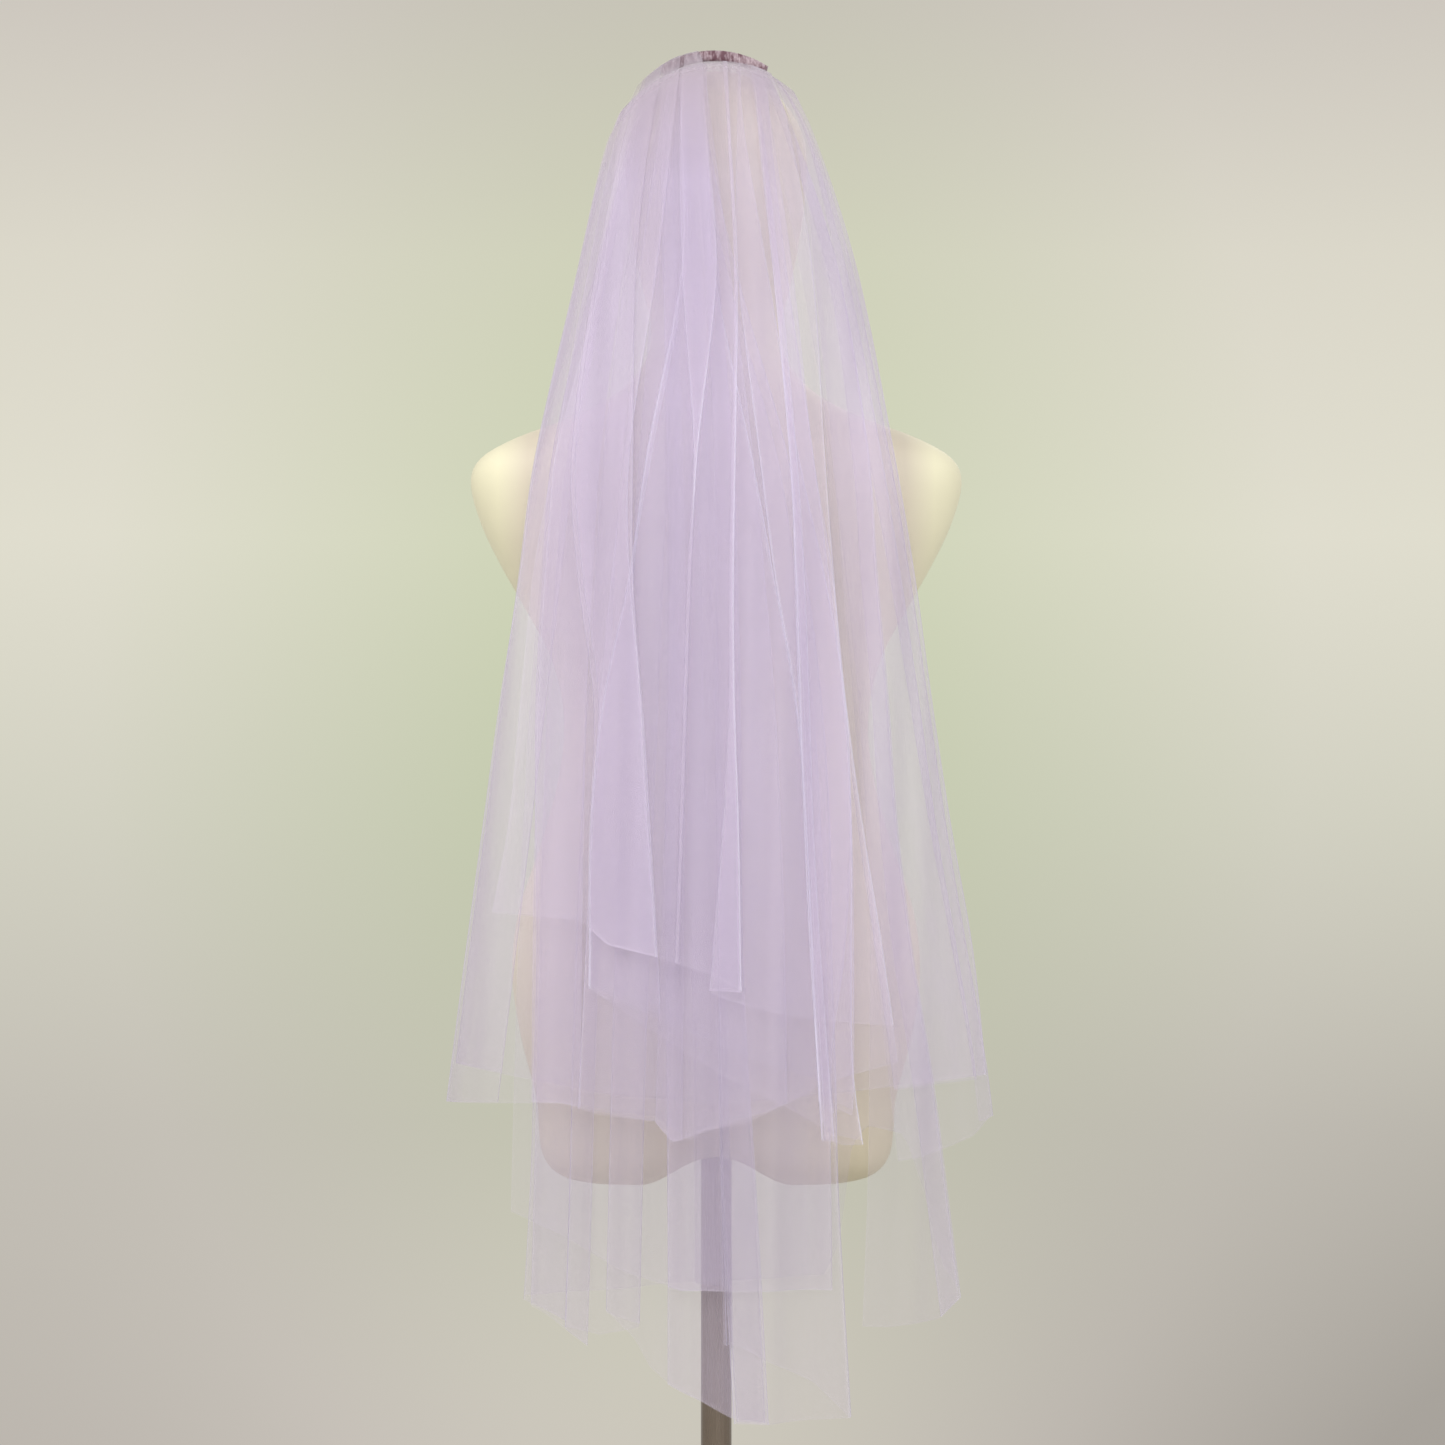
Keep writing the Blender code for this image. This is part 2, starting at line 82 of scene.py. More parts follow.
class Value:
    """A shader value that can be summed like a number."""

    def __init__(self, finish, socket):
        self.finish = finish
        self.socket = socket

    def sum(self, operation, first, second):
        return self.finish.node("Math", {"operation": operation}, {0: first, 1: second})

    def __add__(self, other):
        return self.sum("ADD", self, other)

    def __sub__(self, other):
        return self.sum("SUBTRACT", self, other)

    def __rsub__(self, other):
        return self.sum("SUBTRACT", other, self)

    def __mul__(self, other):
        return self.sum("MULTIPLY", self, other)

    def __truediv__(self, other):
        return self.sum("DIVIDE", self, other)

    def __rtruediv__(self, other):
        return self.sum("DIVIDE", other, self)

    def __rpow__(self, other):
        return self.sum("POWER", other, self)

    def __pow__(self, other):
        return self.sum("POWER", self, other)

    __radd__ = __add__
    __rmul__ = __mul__


class Finish:
    """A node tree in which each node is made with its settings and its sockets."""

    def __init__(self, name, owner=None):
        self.material = owner or bpy.data.materials.new(name)
        self.material.use_nodes = True
        self.tree = self.material.node_tree

    def put(self, socket, value):
        if isinstance(value, Value):
            self.tree.links.new(value.socket, socket)
        else:
            socket.default_value = value

    def node(self, kind, settings=(), sockets=(), out=0):
        made = self.tree.nodes.new("ShaderNode" + kind)
        for key, value in dict(settings).items():
            if key == "stops":
                ramp = made.color_ramp.elements
                while len(ramp) < len(value):
                    ramp.new(0.5)
                for stop, (place, colour) in zip(ramp, value):
                    stop.position = place
                    stop.color = (*colour, 1)
            else:
                setattr(made, key, value)
        for key, value in dict(sockets).items():
            self.put(made.inputs[key], value)
        return Value(self, made.outputs[out])

    def blend(self, share, first, second):
        """Colour between two, by a share."""
        a, b = (c if isinstance(c, Value) else (*c, 1) for c in (first, second))
        return self.node("Mix", {"data_type": "RGBA"}, {0: share, 6: a, 7: b}, 2)

    def surface(self, **sockets):
        """Set the Principled shader's sockets, named with _ for each space."""
        shader = self.tree.nodes["Principled BSDF"]
        for key, value in sockets.items():
            self.put(shader.inputs[key.replace("_", " ")], value)
        return self.material


# The backdrop is pale beige with a faint sage bloom behind the form, a painted pool of light low in
# the middle and painted shade in its lower right corner, and lights the scene evenly.
sky = Finish("studio", bpy.data.worlds.new("studio"))
bpy.context.scene.world = sky.material
way = sky.node("TexCoord", out=0)
split = sky.node("SeparateXYZ", sockets={0: way})
rise = Value(sky, split.socket.node.outputs[2])
wall = sky.node("ValToRGB", {"stops": (
    (0.0, (0.485, 0.450, 0.410)), (0.24, (0.540, 0.512, 0.458)), (0.44, (0.645, 0.635, 0.540)),
    (0.62, (0.745, 0.725, 0.620)), (0.80, (0.710, 0.682, 0.590)), (1.0, (0.585, 0.545, 0.500)),
)}, {0: rise * 2.6 + 0.5})
aside = (split + 0.006) * (split + 0.006) * 1.3
middle = (rise - 0.01) * (rise - 0.01) * 0.55
spread = sky.node("Math", {"operation": "SQRT"}, {0: aside + middle})
bloom = sky.node("ValToRGB", {"stops": ((0.04, (0.83, 0.91, 0.76)), (0.17, (1.0, 1.0, 1.0)))}, {0: spread})
bloom = sky.node("Mix", {"data_type": "RGBA", "blend_type": "MULTIPLY"}, {0: 1.0, 6: wall, 7: bloom}, 2)
low = (split + 0.018) * (split + 0.018) + (rise + 0.18) * (rise + 0.18)
# Painted shade: the backdrop darkens towards its lower right corner.
painted_corner_shade = sky.node("Math", {"operation": "MAXIMUM"}, {0: split, 1: 0.0})
painted_corner_shade = painted_corner_shade * sky.node("Math", {"operation": "MAXIMUM"}, {0: rise * -1.0, 1: 0.0})
painted_corner_shade = sky.node("Math", {"operation": "MINIMUM"}, {0: painted_corner_shade * painted_corner_shade * 280.0, 1: 0.22})
glow = 1.0 + 2.718 ** (low * -105.0) * 0.27 - painted_corner_shade
seen = sky.node("LightPath")
seen_sky = sky.node("Background", sockets={0: bloom, 1: glow})
lit_sky = sky.node("Background", sockets={0: (1.0, 0.99, 0.95, 1), 1: 0.62})
both = sky.node("MixShader", sockets={0: seen, 1: lit_sky, 2: seen_sky})
sky.tree.links.new(both.socket, sky.tree.nodes["World Output"].inputs[0])

bm = bmesh.new()
bmesh.ops.create_circle(bm, cap_ends=True, segments=96, radius=2.6)
floor_mesh = bpy.data.meshes.new("floor")
bm.to_mesh(floor_mesh)
bm.free()
floor = bpy.data.objects.new("floor", floor_mesh)
bpy.context.scene.collection.objects.link(floor)
floor_finish = Finish("studio_floor")
floor_mesh.materials.append(floor_finish.surface(Base_Color=(0.60, 0.59, 0.53, 1), Roughness=0.7))


# Foot and collar: a turned steel plate and a cast collar, both sprayed satin grey, with a faint
# orange-peel skin and uneven smears.
foot = Finish("sprayed_steel")
place = foot.node("TexCoord", out=3)
peel = foot.node("TexNoise", sockets={"Vector": place, "Scale": 900.0, "Detail": 2.0})
smears = foot.node("TexNoise", sockets={"Vector": place, "Scale": 14.0, "Detail": 4.0})
foot_look = foot.surface(
    Base_Color=foot.blend(smears, (0.19, 0.185, 0.175), (0.25, 0.24, 0.23)),
    Roughness=0.30 + smears * 0.22,
    Metallic=0.35,
    Normal=foot.node("Bump", sockets={"Strength": 0.08, "Distance": 0.0002, "Height": peel}),
)
for name in ("base_plate", "base_socket"):
    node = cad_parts[name]
    node.data.materials.clear()
    node.data.materials.append(foot_look)

# Pole: a drawn steel tube, plated and brushed lengthways, with a brownish cast.
pole = Finish("brushed_tube")
place = pole.node("TexCoord", out=3)
drawn = pole.node("Mapping", sockets={"Vector": place, "Scale": (900.0, 900.0, 4.0)})
lines = pole.node("TexNoise", sockets={"Vector": drawn, "Scale": 1.0, "Detail": 3.0})
stains = pole.node("TexNoise", sockets={"Vector": place, "Scale": 9.0, "Detail": 3.0})
pole_look = pole.surface(
    Base_Color=pole.blend(stains, (0.20, 0.155, 0.125), (0.29, 0.24, 0.20)),
    Roughness=0.20 + lines * 0.16,
    Metallic=1.0,
    Normal=pole.node("Bump", sockets={"Strength": 0.10, "Distance": 0.0002, "Height": lines}),
)
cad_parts["pole"].data.materials.clear()
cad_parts["pole"].data.materials.append(pole_look)


# Dress form: a moulded ivory shell with no limbs and a blank head, closed underneath by two short
# stumps. Its skin is matt, with faint trowel marks and slightly darker patches; painted shade darkens
# it towards the foot, and painted shadow darkens its back under the veil.
# height, half width, back, front, squareness of the outline, rise of the middle between the stumps
FORM_SECTIONS = (
    (777.5, 84, -31, -13, 2.6, 25),
    (779, 101, -47, 3, 2.6, 24),
    (784, 121, -68, 24, 2.5, 20),
    (793, 133, -84, 40, 2.4, 14),
    (806, 139, -95, 51, 2.3, 8),
    (824, 141, -101, 58, 2.3, 3),
    (848, 143, -106, 63, 2.3, 0),
    (895, 155, -116, 70, 2.2, 0),
    (945, 162, -119, 76, 2.2, 0),
    (995, 157, -110, 80, 2.2, 0),
    (1050, 139, -90, 80, 2.2, 0),
    (1105, 125, -78, 78, 2.2, 0),
    (1150, 122, -75, 80, 2.2, 0),
    (1195, 132, -78, 92, 2.2, 0),
    (1238, 155, -86, 113, 2.2, 0),
    (1270, 173, -91, 119, 2.3, 0),
    (1302, 188, -93, 108, 2.4, 0),
    (1334, 196, -92, 88, 2.4, 0),
    (1354, 188, -87, 70, 2.4, 0),
    (1370, 160, -80, 54, 2.3, 0),
    (1384, 122, -73, 44, 2.2, 0),
    (1398, 92, -67, 40, 2.1, 0),
    (1415, 69, -62, 40, 2.0, 0),
    (1436, 55, -59, 43, 2.0, 0),
    (1456, 52, -60, 52, 2.0, 0),
    (1472, 54, -64, 78, 2.0, 0),
    (1492, 59, -70, 87, 2.0, 0),
    (1525, 66, -79, 89, 2.0, 0),
    (1560, 71, -84, 90, 2.0, 0),
)
RISE_HALF_WIDTH = 62.0
CROWN_CENTRE_Y = 2.0
CROWN_CENTRE_Z = 1589.0
CROWN_HALF_WIDTH = 73.0
CROWN_HALF_DEPTH = 88.0
CROWN_HEIGHT = 75.0
FORM_SIDES = 96


def smooth_rows(rows, steps):
    """Catmull-Rom curve through the rows of a table, with the given steps between each two."""
    rows = np.array(rows, float)
    padded = np.vstack([rows[:1], rows, rows[-1:]])
    t = (np.arange(steps) / steps)[:, None]
    curve = []
    for a, b, c, d in zip(padded, padded[1:], padded[2:], padded[3:]):
        curve.append(b + 0.5 * t * (c - a + t * (2 * a - 5 * b + 4 * c - d + t * (3 * (b - c) + d - a))))
    return np.vstack([*curve, rows[-1:]])


def new_piece(name, bm, look, slot, *nodes, round_angle=None):
    """Finish a mesh in millimetres as a piece that rides on the stand."""
    bmesh.ops.scale(bm, vec=(MM, MM, MM), verts=bm.verts)
    mesh = bpy.data.meshes.new(name)
    bm.to_mesh(mesh)
    bm.free()
    mesh.materials.append(look)
    mesh.shade_smooth()
    if round_angle is not None:
        mesh.set_sharp_from_angle(angle=math.radians(round_angle))
    piece = bpy.data.objects.new(name, mesh)
    bpy.context.scene.collection.objects.link(piece)
    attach(piece, "root")
    if nodes:
        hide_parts(*nodes)
    return piece


sections = [list(row) for row in smooth_rows(FORM_SECTIONS, 4)]
first = list(FORM_SECTIONS[0])
for share in (0.0, 0.35, 0.7):
    middle, half = 0.5 * (first[2] + first[3]), 0.5 * (first[3] - first[2]) * share
    sections.insert(int(share > 0) + int(share > 0.5), [first[0], first[1] * (0.97 + 0.03 * share),
                                                       middle - half, middle + half, 2.6, first[5]])
for angle in np.linspace(0, 90, 30):
    shrink = math.cos(math.radians(angle))
    sections.append([CROWN_CENTRE_Z + CROWN_HEIGHT * math.sin(math.radians(angle)), CROWN_HALF_WIDTH * shrink,
                     CROWN_CENTRE_Y - CROWN_HALF_DEPTH * shrink, CROWN_CENTRE_Y + CROWN_HALF_DEPTH * shrink, 2, 0])
bm = bmesh.new()
bmesh.ops.create_grid(bm, x_segments=FORM_SIDES, y_segments=len(sections) - 1, size=1.0)
bm.verts.ensure_lookup_table()
for row, (z, half_width, back, front, squareness, lift) in enumerate(sections):
    for side_number in range(FORM_SIDES + 1):
        angle = 2 * math.pi * side_number / FORM_SIDES
        across, forward = math.cos(angle), math.sin(angle)
        x = math.copysign(abs(across) ** (2 / squareness), across) * half_width
        y = 0.5 * (front + back) + math.copysign(abs(forward) ** (2 / squareness), forward) * 0.5 * (front - back)
        up = lift * math.cos(0.5 * math.pi * min(1.0, abs(x) / RISE_HALF_WIDTH)) ** 2
        bm.verts[row * (FORM_SIDES + 1) + side_number].co = (x, y, z + up)
bmesh.ops.remove_doubles(bm, verts=bm.verts, dist=0.01)
bmesh.ops.recalc_face_normals(bm, faces=bm.faces)

shell = Finish("ivory_shell")
place = shell.node("TexCoord", out=3)
patches = shell.node("TexNoise", sockets={"Vector": place, "Scale": 7.0, "Detail": 5.0, "Roughness": 0.6})
grain = shell.node("TexNoise", sockets={"Vector": place, "Scale": 420.0, "Detail": 3.0})
trowel = shell.node("TexNoise", sockets={"Vector": place, "Scale": 38.0, "Detail": 4.0, "Distortion": 1.2})
height = shell.node("SeparateXYZ", sockets={0: place})
aside = shell.node("Math", {"operation": "ABSOLUTE"}, {0: height})
forward = Value(shell, height.socket.node.outputs[1])
# Painted shadow: the back of the shell under the veil is darkened where the veil's shadow falls on it.
painted_veil_shadow = shell.node("MapRange", sockets={0: aside, 1: 0.172, 2: 0.148, 3: 0.0, 4: 1.0})
painted_veil_shadow = painted_veil_shadow * shell.node("MapRange", sockets={0: forward, 1: 0.03, 2: -0.05, 3: 0.0, 4: 1.0})
bare = shell.blend(patches, (0.865, 0.82, 0.605), (0.79, 0.745, 0.55))
# Painted shade: the shell darkens from 1.2 m down to 0.8 m, where less light reaches it.
painted_low_shade = shell.node("MapRange", sockets={0: Value(shell, height.socket.node.outputs[2]), 1: 1.20, 2: 0.80, 3: 0.0, 4: 1.0})
shell_look = shell.surface(
    Base_Color=shell.blend(painted_low_shade, shell.blend(painted_veil_shadow, bare, (0.66, 0.59, 0.48)), (0.63, 0.56, 0.42)),
    Roughness=0.50 + patches * 0.18,
    Normal=shell.node("Bump", sockets={"Strength": 0.25, "Distance": 0.0006, "Height": trowel * 0.7 + grain * 0.3}),
)
new_piece("moulded_form", bm, shell_look, "form_shell", "dress_form")


# Comb: clear moulded plastic, pushed forward over the crown. Its teeth are polished.
comb = Finish("clear_plastic")
place = comb.node("TexCoord", out=3)
flow = comb.node("TexNoise", sockets={"Vector": place, "Scale": 160.0, "Detail": 2.0})
comb_look = comb.surface(
    Base_Color=comb.blend(flow, (0.74, 0.70, 0.70), (0.64, 0.60, 0.62)),
    Roughness=0.10 + flow * 0.15,
    Alpha=0.55,
    IOR=1.5,
)
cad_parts["comb"].data.materials.clear()
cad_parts["comb"].data.materials.append(comb_look)


# Bound band: both gathered edges are whipped to the comb with dark mauve thread. The turns lie side
# by side round a flat bar that follows the crown.
COMB_X = -2.0
BAND_REACH = 44.0
BAND_OUTER_RADIUS = 80.0
BAND_MIDDLE_RADIUS = 75.6
BAND_TOP = 1677.0
BAND_MIDDLE_Y = -28.0
BAND_HALF_DEPTH = 2.7
BAND_HALF_HEIGHT = 4.1
THREAD_PITCH = 1.15
TURN_SIDES = 20

turn_angle = math.asin(BAND_REACH / BAND_OUTER_RADIUS)
turns = int(2 * turn_angle * BAND_MIDDLE_RADIUS / THREAD_PITCH)
steps = turns * 4
rng = np.random.default_rng(11)
swell = rng.uniform(-0.18, 0.22, turns + 1)
bm = bmesh.new()
bmesh.ops.create_grid(bm, x_segments=TURN_SIDES, y_segments=steps, size=1.0)
bm.verts.ensure_lookup_table()
for step in range(steps + 1):
    angle = turn_angle * (2 * step / steps - 1)
    thread = step * turns / steps
    bulge = 0.38 * abs(math.sin(math.pi * thread)) + swell[min(turns, int(thread))] * 0.6
    end = min(1.0, min(step, steps - step) / 3)
    for side_number in range(TURN_SIDES + 1):
        lean = 0.5 * math.sin(2 * math.pi * side_number / TURN_SIDES) / BAND_MIDDLE_RADIUS
        round_angle = 2 * math.pi * side_number / TURN_SIDES
        up = math.copysign(abs(math.cos(round_angle)) ** 0.7, math.cos(round_angle))
        out = math.copysign(abs(math.sin(round_angle)) ** 0.7, math.sin(round_angle))
        radius = BAND_MIDDLE_RADIUS + up * (BAND_HALF_HEIGHT + bulge) * end
        y = BAND_MIDDLE_Y + out * (BAND_HALF_DEPTH + bulge * 0.7) * end
        x = COMB_X + radius * math.sin(angle + lean)
        z = BAND_TOP - BAND_OUTER_RADIUS + radius * math.cos(angle + lean)
        bm.verts[step * (TURN_SIDES + 1) + side_number].co = (x, y, z)
bmesh.ops.remove_doubles(bm, verts=bm.verts, dist=0.01)
bmesh.ops.recalc_face_normals(bm, faces=bm.faces)

thread = Finish("mauve_thread")
place = thread.node("TexCoord", out=3)
plies = thread.node("TexNoise", sockets={"Vector": place, "Scale": 1500.0, "Detail": 2.0})
along = thread.node("Mapping", sockets={"Vector": place, "Scale": (270.0, 60.0, 110.0)})
tone = thread.node("TexNoise", sockets={"Vector": along, "Scale": 1.0, "Detail": 3.0, "Roughness": 0.7})
tone = thread.node("MapRange", sockets={0: tone, 1: 0.42, 2: 0.66, 3: 0.0, 4: 1.0})
thread_look = thread.surface(
    Base_Color=thread.blend(tone, (0.12, 0.045, 0.065), (0.46, 0.36, 0.40)),
    Roughness=0.55 + plies * 0.2,
    Sheen_Weight=0.4,
    Normal=thread.node("Bump", sockets={"Strength": 0.5, "Distance": 0.0002, "Height": plies}),
)
new_piece("whipped_band", bm, thread_look, "binding_thread", "comb_binding")


# Tulle: fine nylon net, almost clear in one layer and denser where it turns or is seen edge-on.
# A painted highlight whitens its fold lines and, more faintly, its hems.
# Side view of the outer face at the middle: distance from the pole's plane, height, half width of
# the veil there, and how far its side edges turn in towards the form.
LIE = (
    (-31.9, 1667.6, 50, 17),
    (-51.0, 1665.6, 56, 20),
    (-75.0, 1660.6, 64, 25),
    (-100.0, 1649.8, 72, 30),
    (-121.5, 1630.0, 79, 34),
    (-135.0, 1594.0, 86, 36),
    (-142.0, 1550.0, 97, 37),
    (-149.0, 1490.0, 110, 35),
    (-161.0, 1420.0, 127, 30),
    (-174.0, 1352.0, 140, 25),
    (-185.0, 1260.0, 154, 26),
    (-194.0, 1161.0, 166, 28),
    (-202.0, 1060.0, 180, 31),
    (-208.0, 960.0, 194, 34),
    (-213.0, 860.0, 205, 36),
    (-218.0, 740.0, 206, 36),
    (-222.0, 590.0, 205, 36),
    (-223.0, 540.0, 205, 36),
)
SIDE_CURVE = 2.2
X_MIDDLE = 2.0
EDGE_CURL = 16.0
EDGE_CURVE = 13.0
FLUTE_WIDTH = 96.0
FLUTE_DEPTH = 9.0
FLUTE_OFFSET = 20.0
FLUTES_FULL_AT = 600.0
# height seen, distance between neighbouring layers
LAYER_PITCH = ((576, 4.3), (962, 4.1), (1162, 4.0), (1362, 3.1), (1506, 2.4), (1600, 1.7), (1640, 1.1), (1674, 0.34))
# The fold and hem tables count across and down in steps of 0.8 mm, as the eye sees them
TABLE_STEP = 0.8
TABLE_X = 716.0
TABLE_Z = 1722.0
STATIONS = (60, 130, 270, 450, 575, 700, 825, 950, 1075, 1200, 1432)
# The outermost layers left of this place are drawn forward over the band
OVER_BAND_X = -10.0
OVER_BAND_LAYERS = 2.3
OVER_BAND_REACH = 11.0
OVER_BAND_LIFT = 11.0
# Waves that run down all the layers alike: width, swing in layers, phase
WAVES = ((118.0, 0.55, 0.4), (61.0, 0.42, 2.1), (37.0, 0.30, 5.2), (23.0, 0.16, 1.3))
# Reach of the bright line at a fold (denser cloth with a painted highlight), how much fainter it starts and over what
# length
FOLD_LINE = 0.8
FAINT_FOLD = 2.6
FAINT_LENGTH = 330.0
FADING_LENGTH = 60.0
EVEN_HEIGHTS = np.linspace(560.0, 1690.0, 227)

lie = smooth_rows(LIE, 12)
lie_length = np.concatenate([[0.0], np.cumsum(np.hypot(*np.diff(lie[:, :2], axis=0).T))])
lie_way = np.gradient(lie[:, :2], lie_length, axis=0)
lie_way /= np.linalg.norm(lie_way, axis=1)[:, None]
lie_seen = EYE_HEIGHT + (lie[:, 1] - EYE_HEIGHT) * EYE_DISTANCE / (EYE_DISTANCE + lie[:, 0])


def hang(length, inside, path, shift=0.0, cover=0.0):
    """Points along one thread of the cloth, at a depth inside the veil's outer face, on a path as seen."""
    mid_y, mid_z = (np.interp(length, lie_length, lie[:, i]) for i in (0, 1))
    half_width, turn_in = (np.interp(length, lie_length, lie[:, i]) for i in (2, 3))
    way_y, way_z = (np.interp(length, lie_length, lie_way[:, i]) for i in (0, 1))
    back = np.maximum(0.0, -length)
    mid_y = mid_y + back
    lift = np.clip(1 - length / 46, 0, 1)
    mid_z = mid_z + cover * OVER_BAND_LIFT * np.minimum(1, lift) ** 1.5 - 0.05 * back ** 2
    y, z = mid_y, mid_z
    for _ in range(3):
        nearness = (EYE_DISTANCE + y) / EYE_DISTANCE
        height = EYE_HEIGHT + (z - EYE_HEIGHT) / nearness
        x = EYE_X + (np.interp(height, *path) + shift - EYE_X) * nearness
        flute = 0.5 - 0.5 * np.cos(2 * np.pi * (x + FLUTE_OFFSET) / FLUTE_WIDTH)
        aside = np.abs(x - X_MIDDLE) / half_width
        curl = EDGE_CURL * np.clip((length - 60) / 240, 0, 1) * np.minimum(aside, 1.05) ** EDGE_CURVE
        inwards = inside + turn_in * aside ** SIDE_CURVE + curl
        inwards = inwards - FLUTE_DEPTH * np.clip(length / FLUTES_FULL_AT, 0, 1) * flute
        y, z = mid_y - way_z * inwards, mid_z + way_y * inwards
    return np.stack([x, y, z], axis=1)


def fold_path(places):
    """Smooth path of a fold as seen, as heights that run upwards and the x at each."""
    rows = [(TABLE_Z - TABLE_STEP * down, (across - TABLE_X) * TABLE_STEP) for down, across in zip(STATIONS, places)]
    curve = smooth_rows(rows, 8)[::-1]
    return curve[:, 0], curve[:, 1]


def hem_height(path, hem):
    """Height at which a path crosses the hem's line of (across, down) places."""
    down = np.arange(900.0, 1450.0, 1.0)
    across = np.interp(TABLE_Z - TABLE_STEP * down, *path) / TABLE_STEP + TABLE_X
    past = down - np.interp(across, *np.array(hem, float).T)
    first = int(np.argmax(past >= 0))
    fraction = past[first] / (past[first] - past[first - 1])
    return TABLE_Z - TABLE_STEP * (down[first] - fraction)


def pleated_tier(name, folds, panels, rows, step, seed, creases, look, node):
    """Lay one gathered sheet from fold to fold, with a rounded turn at each, and map it as flat cloth."""
    rng = np.random.default_rng(seed)
    columns = []
    slack = []
    for _, crispness, _ in folds:
        above, below, down = crispness if isinstance(crispness, tuple) else (crispness, crispness, 0)
        sunk = np.clip((TABLE_Z - TABLE_STEP * down - EVEN_HEIGHTS) / FADING_LENGTH, 0, 1)
        slack.append(-FOLD_LINE * (math.log(above) * (1 - sunk) + math.log(below) * sunk))
    for number, (left, right, (layer, hem)) in enumerate(zip(folds, folds[1:], panels)):
        a, b = fold_path(left[2]), fold_path(right[2])
        gaps = b[1] - a[1]
        lowest = TABLE_Z - TABLE_STEP * max(down for _, down in hem)
        count = max(4, int(np.abs(gaps[a[0] > lowest]).max() / step))
        way = 1.0 if gaps.mean() > 0 else -1.0
        gathers = max(2, int(abs(gaps[-1]) / 3.4))
        at = (np.arange(gathers) + rng.uniform(0.15, 0.85, gathers)) / gathers
        reach = 25 + 420 * rng.uniform(0, 1, gathers) ** 2.4
        tall = rng.uniform(0.5, 1.7, gathers)
        sharp = rng.uniform(0.14, 0.30, gathers) / gathers
        for across in np.linspace(0, 1, count + 1):
            path = (a[0], a[1] * (1 - across) + b[1] * across)
            columns.append({"path": path, "across": across, "layer": layer, "hem": hem_height(path, hem),
                            "gather": (at, reach, tall, sharp), "panel": number,
                            "aside": (across * np.interp(EVEN_HEIGHTS, a[0], np.abs(gaps)) + slack[number],
                                      (1 - across) * np.interp(EVEN_HEIGHTS, a[0], np.abs(gaps)) + slack[number + 1])})
        if number < len(panels) - 1:
            after = panels[number + 1][0]
            for turn in (-60, 0, 60):
                bend = math.radians(turn)
                bulge = way * 0.5 * abs(after - layer) * math.cos(bend)
                columns.append({"path": b, "bulge": bulge, "layer": layer + (after - layer) * (0.5 + 0.5 * math.sin(bend)),
                                "hem": columns[-1]["hem"], "panel": number, "aside": (slack[number + 1],) * 2})
    grid = np.zeros((len(columns), rows, 3))
    uv = np.zeros((len(columns), rows, 2))
    turned = np.zeros((len(columns), rows, 2))
    share = np.linspace(0, 1, rows)
    for number, column in enumerate(columns):
        path, layer = column["path"], column["layer"]
        cover = np.clip((OVER_BAND_X - path[1][-1]) / 4, 0, 1) * np.clip((OVER_BAND_LAYERS - layer) * 2, 0, 1)
        end = np.interp(-column["hem"], -lie_seen, lie_length)
        start = -OVER_BAND_REACH * cover
        length = start + (end - start) * (0.35 * share ** 2 + 0.65 * share)
        height = np.interp(length, lie_length, lie_seen)
        pitch = np.interp(height, *np.array(LAYER_PITCH).T)
        ripple = np.zeros(rows)
        for width, swing, phase in WAVES:
            ripple += swing * np.sin(2 * np.pi * np.interp(height, *path) / width + phase + length / 240)
        if "bulge" in column:
            points = hang(length, (layer + ripple) * pitch, path, column["bulge"] * pitch, cover)
        else:
            across = column["across"]
            at, reach, tall, sharp = column["gather"]
            calm = min(1.0, min(across, 1 - across) * 12)
            away = (across - at[:, None]) / sharp[:, None]
            fade = np.exp(-(np.maximum(length, 0)[None] / reach[:, None]) ** 1.6)
            ripple -= (tall[:, None] * np.exp(-away ** 2) * fade).sum(0) * 0.5 * calm
            inside = (layer + ripple) * pitch
            for crease_panel, crease_line, ridge, half in creases:
                if crease_panel == column["panel"]:
                    line = np.array(crease_line, float)
                    line_height = TABLE_Z - TABLE_STEP * line[::-1, 1]
                    line_x = (line[::-1, 0] - TABLE_X) * TABLE_STEP
                    near = np.clip(1 - np.abs(np.interp(height, *path) - np.interp(height, line_height, line_x)) / half, 0, 1)
                    ends = np.clip((line_height[-1] - height) / 60, 0, 1) * np.clip((height - line_height[0]) / 60, 0, 1)
                    inside = inside - ridge * near ** 1.3 * ends
            points = hang(length, inside, path, 0.0, cover)
        grid[number] = points
        uv[number, :, 1] = length * MM
        faint = FAINT_FOLD * np.clip(1 - length / FAINT_LENGTH, 0, 1)
        turned[number, :, 0] = (faint + np.minimum(*(np.interp(height, EVEN_HEIGHTS, way) for way in column["aside"]))) * MM
        turned[number, :, 1] = (end - length) * MM
    across_step = np.linalg.norm(np.diff(grid, axis=0), axis=2).mean(axis=1)
    uv[:, :, 0] = (np.concatenate([[0], np.cumsum(across_step)]) * MM)[:, None]
    bm = bmesh.new()
    bmesh.ops.create_grid(bm, x_segments=len(columns) - 1, y_segments=rows - 1, size=1.0)
    for vert, point in zip(bm.verts, grid.transpose(1, 0, 2).reshape(-1, 3)):
        vert.co = point
    tier = new_piece(name, bm, look, "tulle", node)
    corners = np.zeros(len(tier.data.loops), int)
    tier.data.loops.foreach_get("vertex_index", corners)
    for title, values in (("cloth", uv), ("turned", turned)):
        layer_map = tier.data.uv_layers.new(name=title)
        layer_map.data.foreach_set("uv", values.transpose(1, 0, 2).reshape(-1, 2)[corners].ravel())
    return tier


